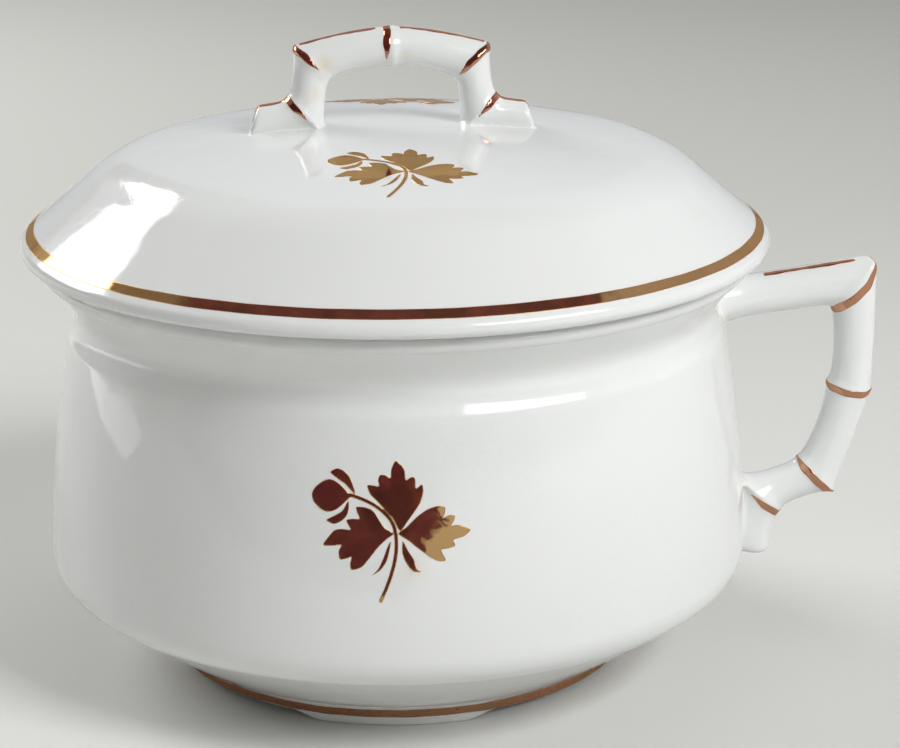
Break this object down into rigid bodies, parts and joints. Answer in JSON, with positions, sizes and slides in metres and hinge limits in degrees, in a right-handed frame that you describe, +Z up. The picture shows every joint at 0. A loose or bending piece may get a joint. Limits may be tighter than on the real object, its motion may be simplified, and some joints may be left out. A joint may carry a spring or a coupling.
{
  "type": "lidded chamber pot",
  "caption": "Round white glazed chamber pot with a lift-off domed lid, cane-shaped handles, a low bracket foot and copper lustre bands and leaf sprigs.",
  "frame": {"origin": "on the pot's axis, at the plane that the foot ring stands on", "axes": "+Z up along the pot's axis, +X towards the side handle, -Y towards the front with the leaf sprig"},
  "size_m": [0.2786, 0.24, 0.2072],
  "materials": {
    "white_glaze": "bright clear glaze over white earthenware, lightly crazed",
    "copper_lustre": "fired copper lustre, mirror bright, brushed on"
  },
  "bodies": {
    "pot": {"pot_bowl": "white_glaze", "foot_ring": "white_glaze", "side_handle": "white_glaze", "foot_band": "copper_lustre", "side_handle_rings": "copper_lustre", "side_handle_stripe": "copper_lustre", "front_sprig": "copper_lustre", "back_sprig": "copper_lustre"},
    "lid": {"lid_shell": "white_glaze", "lid_flange": "white_glaze", "lid_handle": "white_glaze", "lid_rim_band": "copper_lustre", "lid_handle_rings": "copper_lustre", "lid_handle_stripes": "copper_lustre", "lid_front_sprig": "copper_lustre", "lid_back_sprig": "copper_lustre"}
  },
  "joints": [
    {"name": "lid_lift", "type": "slide", "parent": "pot", "child": "lid", "axis": [0, 0, 1], "range_m": [0, 0.18]}
  ]
}
